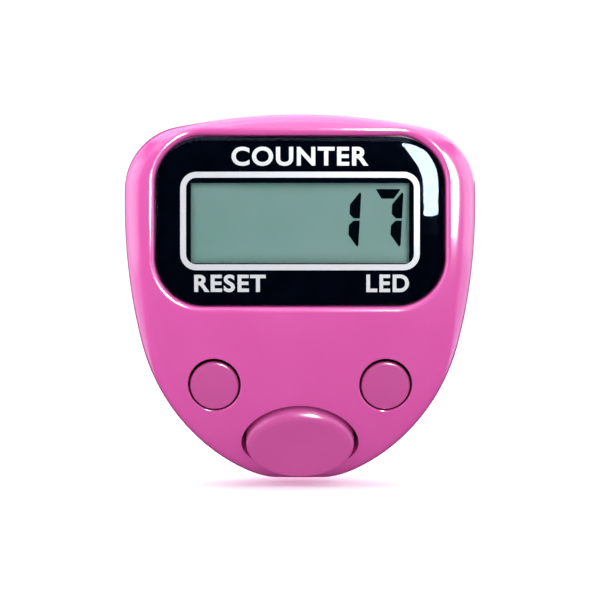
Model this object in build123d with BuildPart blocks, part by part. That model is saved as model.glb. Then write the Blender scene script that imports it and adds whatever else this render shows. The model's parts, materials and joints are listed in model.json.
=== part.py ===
from build123d import *
import os
from math import asin, atan2, cos, degrees, hypot, radians, sin, sqrt

# Finger-ring digital tally counter: a pocket counter with an LCD, worn on a finger by its strap.
#
# The frame: the origin is the centre of the round finger loop, on the plane of symmetry.
# +X is to the right of the display, +Y runs from the display to the strap, +Z is the display's up.
# Side views are drawn on SIDE, whose local x is "forward" (towards the display, -Y) and whose
# local y is up.  Front views are drawn on FRONT, whose offset is the same forward distance.

os.makedirs("parts", exist_ok=True)

# ---- driving dimensions, millimetres and degrees ----

# finger loop
LOOP_R = 10.7  # inner radius of the round loop
STRAP_T = 1.2  # strap thickness
STRAP_W = 4.0  # strap width
PIVOT = (1.0, -12.65)  # where the strap flexes: forward, up
KNUCKLE_R = 1.95
KNUCKLE_GAP = 0.1
ROOT_UNDER = -14.75  # underside of the strap's root at the pivot
ROOT_SLOPE = 16.8  # fall of the underside there
ROOT_UNDER_SEAM = -16.5  # and its height at the seam
STRAP_THIN_ANGLE = 215.0  # where the root's taper reaches the strap's own thickness
TAIL_INSIDE = 4.5  # length of strap inside the cover
OPEN_ANGLE = 9.0  # the strap's flex, opening
CLOSE_ANGLE = 3.0  # and closing
SWING_MARGIN = 1.5
SLOT_GAP = 0.3
ROOT_FLARE_END = -5.0  # forward distance where the root has narrowed to the strap
ROOT_HALF_W = 12.0  # half-width of the root at the seam
ROOT_TOP = -6.0  # the flare is below this height
TONGUE_L = 1.6
SLOT_AT = 15.1  # forward distance at which the strap enters the cover

# outline of the case from the front: tangent arcs (radius, angle), bottom centre to top centre
OUTLINE_BOTTOM = -16.9
OUTLINE_ARCS = ((10.9, 29.5), (20.0, 48.1), (60.9, 13.5), (6.0, 76.8))

# front of the case from the side: tangent arcs above and below its most forward point
NOSE = (29.9, 6.9)
BROW_R = 100.0
CHIN_ARCS = ((24.7, 34.5), (22.0, 53.9))
BLANK_TOP = 20.0
BLANK_REAR = 5.0
CROWN_X = 17.0  # half-width at which the crown is stated
CROWN_BACK = 1.0  # how far the front has fallen back there
CROWN_UP = 0.5
RIM_R = 2.3

# finger rest: tangent arcs from under the loop to the top of the back
REST_ARCS = ((14.25, 46.7), (17.8, 43.3), (29.0, 28.6))
REST_REAR = -16.0
SEAM = 9.3  # forward distance of the joint between the case and the strap's root
REAR_EDGE_R = 0.8
HOLE_EDGE_R = 0.15

# walls
WALL_FRONT = 1.8
WALL_SIDE = 1.4
COVER_T = 1.4
COVER_RIM = 1.0  # rim of the case left beside the cover
FIT = 0.1  # assembly gap

# display window
WINDOW_W, WINDOW_H, WINDOW_R = 27.2, 16.0, 4.6
WINDOW_Z = 8.8
WINDOW_RECESS = 0.3
WINDOW_REAR = 25.9  # forward distance behind the whole window, between the skin and the board
LEDGE_REAR = 23.9
WINDOW_LIP_R = 0.45
LENS_EDGE_R = 0.4
LENS_T = 0.8
MASK_T = 0.1
LEDGE_W = 0.6

# LCD stack
LCD_Z = 8.8
VIEW_W, VIEW_H, VIEW_Z = 20.4, 7.5, 8.6
GLASS_W, GLASS_H, GLASS_T = 23.8, 12.0, 0.7
CONTACT_H = 1.6  # lower edge of the front glass, left bare for its contacts
POLARIZER_T = 0.2
POLARIZER_W, POLARIZER_H = 23.2, 9.8
LCD_FRONT = 27.7
DIFFUSER_W, DIFFUSER_H, DIFFUSER_T = 21.6, 8.0, 1.1
HOLDER_W, HOLDER_H, HOLDER_FRONT = 26.0, 13.4, 26.6
LIGHT_LIP = 0.5  # how far the holder reaches in behind the diffuser
ZEBRA_T = 1.4
ZEBRA_SHORT = 1.2  # how much shorter than the glass it is at each end
LED_W, LED_H, LED_T, LED_DOME_R = 3.0, 1.4, 0.8, 0.6

# main board
BOARD_FRONT = 21.0
BOARD_T = 0.8
BOARD_INSET = 1.9
BOARD_NOTCH_W = 12.2
BOARD_NOTCH_TOP = -5.5
BOARD_BOTTOM = -8.9
SCREW_X, SCREW_Z = 11.0, -1.2
SCREW_R, SCREW_LEN, SCREW_HEAD_R, SCREW_HEAD_T = 0.65, 4.0, 1.2, 0.7
DRIVE_L, DRIVE_W = 1.56, 0.3  # the cross in the screw heads
BOSS_R = 1.6
CHIP_R, CHIP_H, CHIP_Z = 2.4, 1.1, -2.9
CHIP_EDGE_R = 0.88
RESISTOR_W, RESISTOR_H, RESISTOR_L = 0.8, 0.5, 1.6
RESISTOR_X, RESISTOR_Z, RESISTOR_PITCH = 7.0, -3.4, 1.6

# coin cells
CELL_R, CELL_T = 5.8, 3.1
CELL_X, CELL_Z = 8.6, 6.5
CELL_EDGE = 0.4
CONTACT_T, CONTACT_R, CONTACT_HOLE_R = 0.15, 4.2, 1.9
BRIDGE_T, BRIDGE_PAD_R, BRIDGE_BAR_W, BRIDGE_BAR_H, BRIDGE_BAR_Z = 0.2, 4.1, 20.2, 1.2, 10.6
TRAY_W, TRAY_BOTTOM, TRAY_TOP, TRAY_T = 28.4, 0.2, 12.8, 2.8
TAIL_GAP_W = 4.8
TAIL_GAP_BOTTOM, TAIL_GAP_TOP = 0.8, 9.6

# small buttons, left and right of the middle
SMALL_X, SMALL_Z = 8.1, -6.7
SMALL_R, SMALL_HOLE_R = 2.3, 2.5
SMALL_HOLE_Z = -6.62  # the caps hang a little low in their holes
SMALL_SUNK = 0.1
SMALL_REAR = 22.0
EAR_W, EAR_H, EAR_T = 5.8, 1.4, 0.5
SMALL_EDGE_R = 0.25
SMALL_DOME_R, SMALL_PILL_R, SMALL_PILL_T = 1.9, 0.9, 0.2

# count button
COUNT_ARC = 54.5  # where it sits on the chin: the angle of the chin's normal below forward
COUNT_TILT = 52.0  # its axis below forward
COUNT_R, COUNT_HOLE_R = 5.2, 5.65
COUNT_PROUD = 0.6
COUNT_EDGE_R = 0.7
COUNT_FLANGE_R, COUNT_FLANGE_T = 5.95, 0.6
COUNT_FLANGE_DEPTH = 3.1
COUNT_DOME_R, COUNT_DOME_H, COUNT_PILL_R, COUNT_PILL_T = 3.4, 1.3, 1.8, 0.4
SWITCH_BOARD_T = 0.8
SWITCH_BOARD_W, SWITCH_BOARD_UP, SWITCH_BOARD_DOWN = 16.6, 3.5, 4.6
SWITCH_BOARD_CORNER = 2.4
POST_X, POST_R = 7.4, 0.8
POST_BITE = 0.4  # how far the posts reach into the wall
DOME_WALL = 0.3
DOME_DRAFT = 0.4
WIRE_X, WIRE_UP, WIRE_R, WIRE_BEND, WIRE_TOP = 4.0, 2.0, 0.3, 0.7, -4.6

# cover hooks: outer face from the middle, height
HOOKS = ((13.75, 13.9), (12.5, -3.0))
HOOK_T, HOOK_W, HOOK_FRONT = 0.9, 1.8, 18.6
BARB, BARB_L = 0.75, 0.9

BIG = 60.0

# ---- planes and derived places ----

SIDE = Plane(origin=(0, 0, 0), x_dir=(0, -1, 0), z_dir=(-1, 0, 0))
FRONT = Plane.XZ

BOARD_REAR = BOARD_FRONT - BOARD_T
FLANGE_REAR = COUNT_FLANGE_DEPTH + COUNT_FLANGE_T
SWITCH_BOARD_DEPTH = FLANGE_REAR + COUNT_DOME_H
PIVOT_REACH = hypot(*PIVOT)
TAIL_R = PIVOT_REACH + LOOP_R + STRAP_T / 2  # centre-line radius of the tail about the pivot
TAIL_JOIN = degrees(atan2(-PIVOT[1], -PIVOT[0]))  # direction in which the two arcs touch


def chin_point(angle):
    """A point on the front's side profile where its normal points this far below forward."""
    (upper_r, upper_a), (lower_r, _) = CHIN_ARCS
    x = NOSE[0] - upper_r * (1 - cos(radians(upper_a)))
    z = NOSE[1] - upper_r * sin(radians(upper_a))
    x -= lower_r * (cos(radians(upper_a)) - cos(radians(angle)))
    z -= lower_r * (sin(radians(angle)) - sin(radians(upper_a)))
    return x, z


def arc_chain(start, tangent, arcs, turn=1):
    """Tangent arcs in the current line, each (radius, angle); gives the last one."""
    last = None
    for radius, angle in arcs:
        point, direction = (start, tangent) if last is None else (last @ 1, last % 1)
        last = JernArc(start=point, tangent=direction, radius=radius, arc_size=turn * angle)
    return last


# ---- shared shapes ----


def outline(inset=0.0):
    """The case's outline from the front, moved inwards by inset."""
    with BuildSketch() as face:
        with BuildLine():
            arcs = [(radius - inset, angle) for radius, angle in OUTLINE_ARCS]
            corner = arc_chain((0, OUTLINE_BOTTOM + inset), (1, 0), arcs)
            lean = radians(180 - sum(angle for _, angle in OUTLINE_ARCS))
            top_r = (corner @ 1).X / sin(lean)
            crown = JernArc(start=corner @ 1, tangent=corner % 1, radius=top_r, arc_size=degrees(lean))
            Line(crown @ 1, (0, OUTLINE_BOTTOM + inset))
        make_face()
        mirror(about=Plane.YZ)
    return face.sketch


def front_profile(inset=0.0):
    """The case's front from the side, closed at the rear, moved inwards by inset."""
    brow_a = degrees(atan2(BLANK_TOP - NOSE[1], sqrt(BROW_R**2 - (BLANK_TOP - NOSE[1]) ** 2)))
    brow_x = NOSE[0] - inset - (BROW_R - inset) * (1 - cos(radians(brow_a)))
    brow_z = NOSE[1] + (BROW_R - inset) * sin(radians(brow_a))
    with BuildSketch() as face:
        with BuildLine():
            arcs = [(BROW_R - inset, brow_a)] + [(radius - inset, angle) for radius, angle in CHIN_ARCS]
            tangent = (sin(radians(brow_a)), -cos(radians(brow_a)))
            chin = arc_chain((brow_x, brow_z), tangent, arcs, turn=-1)
            end = chin @ 1
            Polyline(end, (BLANK_REAR, end.Y), (BLANK_REAR, brow_z), (brow_x, brow_z))
        make_face()
    return face.sketch


def case_blank(front_inset=0.0, side_inset=0.0):
    """The whole case as a solid block with its crowned front, moved inwards by the insets."""
    with BuildPart() as block:
        for x in (-CROWN_X, 0.0, CROWN_X):
            fall = (x / CROWN_X) ** 2
            with BuildSketch(SIDE.offset(x)):
                with Locations((-CROWN_BACK * fall, CROWN_UP * fall)):
                    add(front_profile(front_inset))
        loft()
        with BuildSketch(FRONT):
            add(outline(side_inset))
        extrude(amount=BIG, mode=Mode.INTERSECT)
    return block.part


def behind_rest(gap=0.0):
    """Everything behind the finger rest, moved forward by gap."""
    with BuildPart() as block:
        with BuildSketch(SIDE):
            with BuildLine():
                arcs = [(radius + gap, angle) for radius, angle in REST_ARCS]
                top = arc_chain((0, -LOOP_R - gap), (1, 0), arcs)
                Polyline(
                    top @ 1,
                    (top @ 1) + (0, -REST_REAR),
                    (REST_REAR, (top @ 1).Y - REST_REAR),
                    (REST_REAR, -LOOP_R - gap),
                    (0, -LOOP_R - gap),
                )
            make_face()
        extrude(amount=BIG / 2, both=True)
    return block.part


def window_outline(shrink=0.0):
    """The display window from the front, each side moved in by shrink."""
    with BuildSketch() as face:
        with Locations((0, WINDOW_Z)):
            RectangleRounded(WINDOW_W - 2 * shrink, WINDOW_H - 2 * shrink, WINDOW_R - shrink)
    return face.sketch


def behind_front(depth):
    """The block behind the crowned front moved straight back by depth."""
    return case_blank().moved(Location((0, depth, 0)))


def front_slab(face, rear, front):
    """A front-view face made solid between two forward distances."""
    with BuildPart() as slab:
        with BuildSketch(FRONT.offset(rear)):
            add(face)
        extrude(amount=front - rear)
    return slab.part


def plate(width, height, centre_z, rear, front):
    """A rectangular plate facing forward, centred sideways."""
    with BuildPart() as slab:
        with BuildSketch(FRONT.offset(rear)):
            with Locations((0, centre_z)):
                Rectangle(width, height)
        extrude(amount=front - rear)
    return slab.part


COUNT_AT = chin_point(COUNT_ARC)
COUNT_OUT = Vector(0, -cos(radians(COUNT_TILT)), -sin(radians(COUNT_TILT)))


def count_plane(depth):
    """The plane across the count button's axis at this depth below the case's surface; +z is out."""
    origin = Vector(0, -COUNT_AT[0], COUNT_AT[1]) - COUNT_OUT * depth
    return Plane(origin=origin, x_dir=(1, 0, 0), z_dir=COUNT_OUT)


def count_cylinder(radius, deep, shallow):
    """A cylinder on the count button's axis between two depths."""
    with BuildPart() as drum:
        with BuildSketch(count_plane(deep)):
            Circle(radius)
        extrude(amount=deep - shallow)
    return drum.part


def tail_band(clear, first, last, half_width):
    """The strap's tail as an arc about the pivot, grown by clear, between two directions."""
    with BuildPart() as band:
        with BuildSketch(SIDE):
            with BuildLine():
                reach = (TAIL_R - STRAP_T / 2 - clear, TAIL_R + STRAP_T / 2 + clear)
                inner = CenterArc(PIVOT, reach[0], first, last - first)
                outer = CenterArc(PIVOT, reach[1], first, last - first)
                Line(inner @ 0, outer @ 0)
                Line(inner @ 1, outer @ 1)
            make_face()
        extrude(amount=half_width, both=True)
    return band.part


def root_plan():
    """The strap and its flared root from below."""
    reach = SEAM - ROOT_FLARE_END
    spread = ROOT_HALF_W - STRAP_W / 2
    flare_r = (reach**2 + spread**2) / (2 * spread)
    with BuildPart() as block:
        with BuildSketch(Plane.XY.offset(-BIG / 2)):
            with BuildLine():
                start = (STRAP_W / 2, -ROOT_FLARE_END)
                angle = degrees(atan2(reach, flare_r - spread))
                flare = JernArc(start=start, tangent=(0, -1), radius=flare_r, arc_size=angle)
                end = flare @ 1
                front = end.Y - SEAM
                Polyline(end, (end.X, front), (0, front), (0, BIG / 2), (STRAP_W / 2, BIG / 2), start)
            make_face()
            mirror(about=Plane.YZ)
        extrude(amount=BIG / 2 + ROOT_TOP)
        with BuildSketch(SIDE):
            Rectangle(BIG, BIG)
        extrude(amount=STRAP_W / 2, both=True)
    return block.part


SLOT_DIR = degrees(atan2(sqrt(TAIL_R**2 - (SLOT_AT - PIVOT[0]) ** 2), SLOT_AT - PIVOT[0]))
TAIL_END = SLOT_DIR - degrees(TAIL_INSIDE / TAIL_R)


def rest_forward(height):
    """How far forward the finger rest's surface is at this height."""
    centre, lean = Vector(0, -LOOP_R + REST_ARCS[0][0]), 0.0
    for (radius, angle), (further, _) in zip(REST_ARCS, REST_ARCS[1:] + (REST_ARCS[-1],)):
        lean += radians(angle)
        end = centre + Vector(sin(lean), -cos(lean)) * radius
        if height <= end.Y:
            break
        centre = centre + Vector(sin(lean), -cos(lean)) * (radius - further)
    return centre.X + sqrt(max(radius**2 - (height - centre.Y) ** 2, 0))


def on_rest(edge):
    """True if the edge lies on the finger rest's surface."""
    return all(abs(-point.Y - rest_forward(point.Z)) < FIT / 4 for point in (edge @ 0, edge @ 0.5, edge @ 1))


SKIN = case_blank().shell()


def mouth_edges(part, x, z, half_w, half_h):
    """The edges that a hole leaves in the case's crowned front, within a box on the front view."""

    def on_skin(point):
        return SKIN.distance_to(Vertex(*point)) < RIM_R / 4

    def inside(point):
        return abs(point.X - x) < half_w and abs(point.Z - z) < half_h

    return [
        edge
        for edge in part.edges()
        if all(inside(edge @ t) and on_skin(edge @ t) for t in (0.0, 0.3, 0.5, 1.0))
    ]


# ---- case front ----


def pair(x, z):
    """Two places on a front view, left and right of the middle."""
    return Locations((-x, z), (x, z))


def hook_blocks(grow=0.0):
    """The cover's barbs, each grown by grow, for the barbs and for their notches."""
    with BuildPart() as blocks:
        for x, z in HOOKS:
            with BuildSketch(FRONT.offset(HOOK_FRONT - BARB_L - grow)):
                with pair(x + BARB / 2 - grow / 2, z):
                    Rectangle(BARB + grow, HOOK_W + 2 * grow)
            extrude(amount=BARB_L + 2 * grow)
    return blocks.part


with BuildPart() as front_shell:
    add(case_blank())
    rim = [
        edge
        for edge in front_shell.edges()
        if edge.geom_type != GeomType.LINE
        and (edge @ 0).X * (edge @ 1).X > -0.01
        and -(edge @ 0.5).Y > BLANK_REAR + 1
    ]
    fillet(rim, radius=RIM_R)
    add(behind_rest(), mode=Mode.SUBTRACT)
    with BuildSketch(FRONT.offset(SEAM)):
        Rectangle(BIG, BIG)
    extrude(amount=-BIG, mode=Mode.SUBTRACT)
    rear_rim = [edge for edge in front_shell.edges() if on_rest(edge) and edge.geom_type != GeomType.LINE]
    fillet(rear_rim, radius=REAR_EDGE_R)
    pocket = front_slab(window_outline(), WINDOW_REAR, BIG / 2)
    add(pocket - behind_front(WINDOW_RECESS + LENS_T + MASK_T), mode=Mode.SUBTRACT)
    fillet(mouth_edges(front_shell, 0, WINDOW_Z, WINDOW_W / 2 + FIT, WINDOW_H / 2 + FIT), radius=WINDOW_LIP_R)
    # cavity, ledge for the cover, pocket and ledge for the window
    add(case_blank(WALL_FRONT, WALL_SIDE), mode=Mode.SUBTRACT)
    add(front_slab(outline(COVER_RIM), SEAM - 1, BIG / 2) & behind_rest(COVER_T + FIT), mode=Mode.SUBTRACT)
    add(front_slab(window_outline(LEDGE_W), LEDGE_REAR, BIG / 2), mode=Mode.SUBTRACT)
    # button holes
    with BuildSketch(FRONT.offset(SMALL_REAR - 1)):
        with pair(SMALL_X, SMALL_HOLE_Z):
            Circle(SMALL_HOLE_R)
    extrude(amount=BIG, mode=Mode.SUBTRACT)
    reach = SMALL_HOLE_R + FIT
    for x in (-SMALL_X, SMALL_X):
        fillet(mouth_edges(front_shell, x, SMALL_HOLE_Z, reach, reach), radius=HOLE_EDGE_R)
    add(count_cylinder(COUNT_HOLE_R, COUNT_FLANGE_DEPTH + 1, -BIG / 4), mode=Mode.SUBTRACT)
    add(hook_blocks(FIT), mode=Mode.SUBTRACT)
    # screw bosses for the main board, posts for the switch board
    with BuildSketch(FRONT.offset(BOARD_FRONT)):
        with pair(SCREW_X, SCREW_Z):
            Circle(BOSS_R)
            Circle(SCREW_R + FIT / 4, mode=Mode.SUBTRACT)
    extrude(amount=SCREW_LEN + BOSS_R)
    with BuildSketch(count_plane(SWITCH_BOARD_DEPTH)):
        with pair(POST_X, 0):
            Circle(POST_R)
    extrude(amount=SWITCH_BOARD_DEPTH - WALL_FRONT + POST_BITE)

# ---- back cover with the strap's root, and the strap ----


def strap_body():
    """The strap from its knuckle round the loop to its tail, one thickness from the root's taper on."""
    start_dir = -90 + degrees(asin(PIVOT[0] / LOOP_R))
    with BuildPart() as band:
        with BuildSketch(SIDE):
            with BuildLine():
                loop_sweep = -(360 - TAIL_JOIN + start_dir)
                inner = CenterArc((0, 0), LOOP_R, start_dir, loop_sweep)
                tail_sweep = TAIL_JOIN - TAIL_END
                tail_in = CenterArc(PIVOT, TAIL_R - STRAP_T / 2, TAIL_JOIN, -tail_sweep)
                tail_out = CenterArc(PIVOT, TAIL_R + STRAP_T / 2, TAIL_END, tail_sweep)
                Line(tail_in @ 1, tail_out @ 0)
                outer = CenterArc((0, 0), LOOP_R + STRAP_T, TAIL_JOIN, STRAP_THIN_ANGLE - TAIL_JOIN)
                taper = TangentArc(outer @ 1, (PIVOT[0], ROOT_UNDER), tangent=outer % 1)
                Line(taper @ 1, inner @ 0)
            make_face()
            with Locations(PIVOT):
                Circle(KNUCKLE_R)
        extrude(amount=BIG / 2, both=True)
    return band.part & root_plan()


def root_side():
    """The root's side view, from behind the pivot to the seam, below the finger rest."""
    with BuildPart() as block:
        with BuildSketch(SIDE):
            with BuildLine():
                rest = JernArc(
                    start=(0, -LOOP_R), tangent=(1, 0), radius=REST_ARCS[0][0], arc_size=REST_ARCS[0][1]
                )
                slope = (cos(radians(ROOT_SLOPE)), -sin(radians(ROOT_SLOPE)))
                under = TangentArc((PIVOT[0], ROOT_UNDER), (SEAM, ROOT_UNDER_SEAM), tangent=slope)
                Polyline(under @ 1, ((rest @ 1).X, (under @ 1).Y), rest @ 1)
                Polyline(under @ 0, (0, ROOT_UNDER), (0, -LOOP_R))
            make_face()
        extrude(amount=BIG / 2, both=True)
    return block.part


def pivot_space():
    """What the strap's knuckle and its swing need clear of the root."""
    px, pz = PIVOT
    closing = radians(CLOSE_ANGLE + SWING_MARGIN)
    opening = radians(OPEN_ANGLE + SWING_MARGIN)
    with BuildPart() as space:
        with BuildSketch(SIDE):
            with BuildLine():
                Polyline(
                    PIVOT,
                    (px + BIG * sin(closing), pz + BIG * cos(closing)),
                    (px - BIG, pz + BIG),
                    (px - BIG, pz - BIG),
                    (px + BIG * sin(opening), pz - BIG * cos(opening)),
                    close=True,
                )
            make_face()
            with Locations(PIVOT):
                Circle(KNUCKLE_R + KNUCKLE_GAP)
        extrude(amount=BIG / 2, both=True)
    return space.part & plate_zone()


def plate_zone():
    """The space around the root, below the cover."""
    with BuildPart() as zone:
        with BuildSketch(Plane.XY.offset(ROOT_TOP)):
            Rectangle(BIG, BIG)
        extrude(amount=-BIG / 2)
    return zone.part


with BuildPart() as back_cover:
    add(front_slab(outline(COVER_RIM + FIT), SEAM - FIT, BIG / 2) & behind_rest(COVER_T))
    # tongue inside the case's lower lip, then the root behind the seam
    add(
        front_slab(outline(WALL_SIDE + FIT), SEAM - FIT, SEAM + TONGUE_L)
        & case_blank(WALL_FRONT + FIT, WALL_SIDE + FIT)
        & plate_zone()
    )
    add(root_side() & front_slab(outline(), 0, SEAM - FIT) & root_plan())
    add(behind_rest(), mode=Mode.SUBTRACT)
    add(pivot_space(), mode=Mode.SUBTRACT)
    add(
        tail_band(SLOT_GAP, TAIL_END - OPEN_ANGLE, SLOT_DIR + OPEN_ANGLE, STRAP_W / 2 + SLOT_GAP),
        mode=Mode.SUBTRACT,
    )
    hooks = hook_blocks()
    for x, z in HOOKS:
        arms = plate(2 * x, HOOK_W, z, SEAM, HOOK_FRONT) - plate(2 * (x - HOOK_T), BIG, z, SEAM, BIG)
        hooks = hooks + (arms - behind_rest(COVER_T / 2))
    add(hooks)

with BuildPart() as ring_strap:
    add(strap_body())

# ---- display ----

with BuildPart() as display_window:
    add(front_slab(window_outline(FIT), WINDOW_REAR, BIG / 2) & behind_front(WINDOW_RECESS))
    add(behind_front(WINDOW_RECESS + LENS_T), mode=Mode.SUBTRACT)
    lens_front = display_window.faces().sort_by(Axis.Y)[0]
    fillet(lens_front.edges(), radius=LENS_EDGE_R)

with BuildPart() as window_mask:
    add(front_slab(window_outline(FIT), WINDOW_REAR, BIG / 2) & behind_front(WINDOW_RECESS + LENS_T))
    add(behind_front(WINDOW_RECESS + LENS_T + MASK_T), mode=Mode.SUBTRACT)
    add(plate(VIEW_W, VIEW_H, VIEW_Z, 0, BIG), mode=Mode.SUBTRACT)

GLASS_FRONT = LCD_FRONT - POLARIZER_T
GLASS_MID = GLASS_FRONT - GLASS_T
GLASS_REAR = GLASS_MID - GLASS_T
GLASS_BOTTOM = LCD_Z - GLASS_H / 2
REAR_GLASS_Z = LCD_Z + CONTACT_H / 2
LCD_REAR = GLASS_REAR - POLARIZER_T
LIGHT_BOX_FRONT = LCD_REAR - DIFFUSER_T - FIT
ZEBRA_Z = GLASS_BOTTOM + FIT + ZEBRA_T / 2
ZEBRA_W = GLASS_W - 2 * ZEBRA_SHORT


def display_plate(width, height, centre_z, rear, front):
    """One flat layer of the display stack, as its own builder."""
    with BuildPart() as layer:
        add(plate(width, height, centre_z, rear, front))
    return layer


front_polarizer = display_plate(POLARIZER_W, POLARIZER_H, REAR_GLASS_Z, GLASS_FRONT, LCD_FRONT)
lcd_glass_front = display_plate(GLASS_W, GLASS_H, LCD_Z, GLASS_MID, GLASS_FRONT)
lcd_glass_rear = display_plate(GLASS_W, GLASS_H - CONTACT_H, REAR_GLASS_Z, GLASS_REAR, GLASS_MID)
rear_polarizer = display_plate(POLARIZER_W, POLARIZER_H, REAR_GLASS_Z, LCD_REAR, GLASS_REAR)
backlight_diffuser = display_plate(DIFFUSER_W, DIFFUSER_H, LCD_Z, LCD_REAR - DIFFUSER_T, LCD_REAR)
zebra_strip = display_plate(ZEBRA_W, ZEBRA_T, ZEBRA_Z, BOARD_FRONT, GLASS_MID)

with BuildPart() as lcd_holder:
    add(plate(HOLDER_W, HOLDER_H, LCD_Z + FIT, BOARD_FRONT, HOLDER_FRONT))
    add(plate(GLASS_W + 2 * FIT, GLASS_H + 2 * FIT, LCD_Z, LCD_REAR - FIT / 2, BIG), mode=Mode.SUBTRACT)
    add(plate(DIFFUSER_W + 2 * FIT, DIFFUSER_H + 2 * FIT, LCD_Z, LIGHT_BOX_FRONT, BIG), mode=Mode.SUBTRACT)
    add(plate(DIFFUSER_W - 2 * LIGHT_LIP, DIFFUSER_H - 2 * LIGHT_LIP, LCD_Z, 0, BIG), mode=Mode.SUBTRACT)
    add(plate(ZEBRA_W + 2 * FIT, ZEBRA_T + FIT, ZEBRA_Z, 0, BIG), mode=Mode.SUBTRACT)

with BuildPart() as backlight_led:
    add(plate(LED_W, LED_H, LCD_Z, BOARD_FRONT, BOARD_FRONT + LED_T))
    with Locations((0, -(BOARD_FRONT + LED_T), LCD_Z)):
        Sphere(LED_DOME_R)

# ---- main board and what is on it ----

with BuildPart() as main_board:
    with BuildSketch(FRONT.offset(BOARD_REAR)):
        add(outline(BOARD_INSET))
        with Locations((0, BOARD_BOTTOM)):
            Rectangle(BIG, BIG, align=(Align.CENTER, Align.MAX), mode=Mode.SUBTRACT)
        with Locations((0, BOARD_NOTCH_TOP)):
            Rectangle(BOARD_NOTCH_W, BIG, align=(Align.CENTER, Align.MAX), mode=Mode.SUBTRACT)
        with pair(SCREW_X, SCREW_Z):
            Circle(SCREW_R + 2 * FIT, mode=Mode.SUBTRACT)
    extrude(amount=BOARD_T)

with BuildPart() as board_screws:
    with BuildSketch(FRONT.offset(BOARD_REAR - SCREW_HEAD_T)):
        with pair(SCREW_X, SCREW_Z):
            Circle(SCREW_HEAD_R)
    extrude(amount=SCREW_HEAD_T)
    with BuildSketch(FRONT.offset(BOARD_REAR)):
        with pair(SCREW_X, SCREW_Z):
            Circle(SCREW_R)
    extrude(amount=SCREW_LEN)
    with BuildSketch(FRONT.offset(BOARD_REAR - SCREW_HEAD_T)):
        with pair(SCREW_X, SCREW_Z):
            Rectangle(DRIVE_L, DRIVE_W)
            Rectangle(DRIVE_W, DRIVE_L)
    extrude(amount=SCREW_HEAD_T / 2, mode=Mode.SUBTRACT)

with BuildPart() as chip_blob:
    with BuildSketch(FRONT.offset(BOARD_REAR)):
        with Locations((0, CHIP_Z)):
            Circle(CHIP_R)
    extrude(amount=-CHIP_H)
    fillet(chip_blob.faces().sort_by(Axis.Y)[-1].edges(), radius=CHIP_EDGE_R)

with BuildPart() as board_resistors:
    with BuildSketch(FRONT.offset(BOARD_REAR)):
        for x in (-RESISTOR_X, RESISTOR_X):
            with Locations((x, RESISTOR_Z)):
                with GridLocations(RESISTOR_PITCH, RESISTOR_PITCH, 2, 1):
                    Rectangle(RESISTOR_W, RESISTOR_L)
    extrude(amount=-RESISTOR_H)

# ---- coin cells, their tray and their contacts ----

CELL_FRONT = BOARD_REAR - CONTACT_T
CELL_REAR = CELL_FRONT - CELL_T


def coin_cell(x):
    """A coin cell: the can, and the narrower cap of its other pole."""
    with BuildPart() as cell:
        with BuildSketch(FRONT.offset(CELL_REAR)):
            with Locations((x, CELL_Z)):
                Circle(CELL_R)
        extrude(amount=CELL_T - CELL_EDGE)
        fillet(cell.edges().filter_by(GeomType.CIRCLE), radius=CELL_EDGE / 2)
        with BuildSketch(FRONT.offset(CELL_REAR)):
            with Locations((x, CELL_Z)):
                Circle(CELL_R - 2 * CELL_EDGE)
        extrude(amount=CELL_T)
    return cell


battery_left = coin_cell(-CELL_X)
battery_right = coin_cell(CELL_X)

with BuildPart() as battery_tray:
    with BuildSketch(FRONT.offset(BOARD_REAR - TRAY_T)):
        add(outline(WALL_SIDE + 3 * FIT))
        with Locations((0, (TRAY_BOTTOM + TRAY_TOP) / 2)):
            Rectangle(TRAY_W, TRAY_TOP - TRAY_BOTTOM, mode=Mode.INTERSECT)
        with pair(CELL_X, CELL_Z):
            Circle(CELL_R + FIT, mode=Mode.SUBTRACT)
        with Locations((0, (TAIL_GAP_BOTTOM + TAIL_GAP_TOP) / 2)):
            Rectangle(TAIL_GAP_W, TAIL_GAP_TOP - TAIL_GAP_BOTTOM, mode=Mode.SUBTRACT)
    extrude(amount=TRAY_T)

with BuildPart() as battery_contacts:
    with BuildSketch(FRONT.offset(CELL_FRONT)):
        with pair(CELL_X, CELL_Z):
            Circle(CONTACT_R)
            Circle(CONTACT_HOLE_R, mode=Mode.SUBTRACT)
    extrude(amount=CONTACT_T)

with BuildPart() as battery_bridge:
    with BuildSketch(FRONT.offset(CELL_REAR - BRIDGE_T)):
        with pair(CELL_X, CELL_Z):
            Circle(BRIDGE_PAD_R)
        with Locations((0, BRIDGE_BAR_Z)):
            Rectangle(BRIDGE_BAR_W, BRIDGE_BAR_H)
    extrude(amount=BRIDGE_T)

# ---- small buttons ----


def small_button(x):
    """A small round button whose face follows the case, with two ears that keep it in."""
    with BuildPart() as cap:
        with BuildSketch(FRONT.offset(SMALL_REAR)):
            with Locations((x, SMALL_Z)):
                Circle(SMALL_R)
        extrude(amount=BIG / 4)
        add(behind_front(SMALL_SUNK), mode=Mode.INTERSECT)
        fillet(cap.edges().filter_by(lambda edge: -(edge @ 0.5).Y > SMALL_REAR + 0.5), radius=SMALL_EDGE_R)
        with BuildSketch(FRONT.offset(SMALL_REAR)):
            with Locations((x, SMALL_Z)):
                Rectangle(EAR_W, EAR_H)
        extrude(amount=EAR_T)
    return cap


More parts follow.
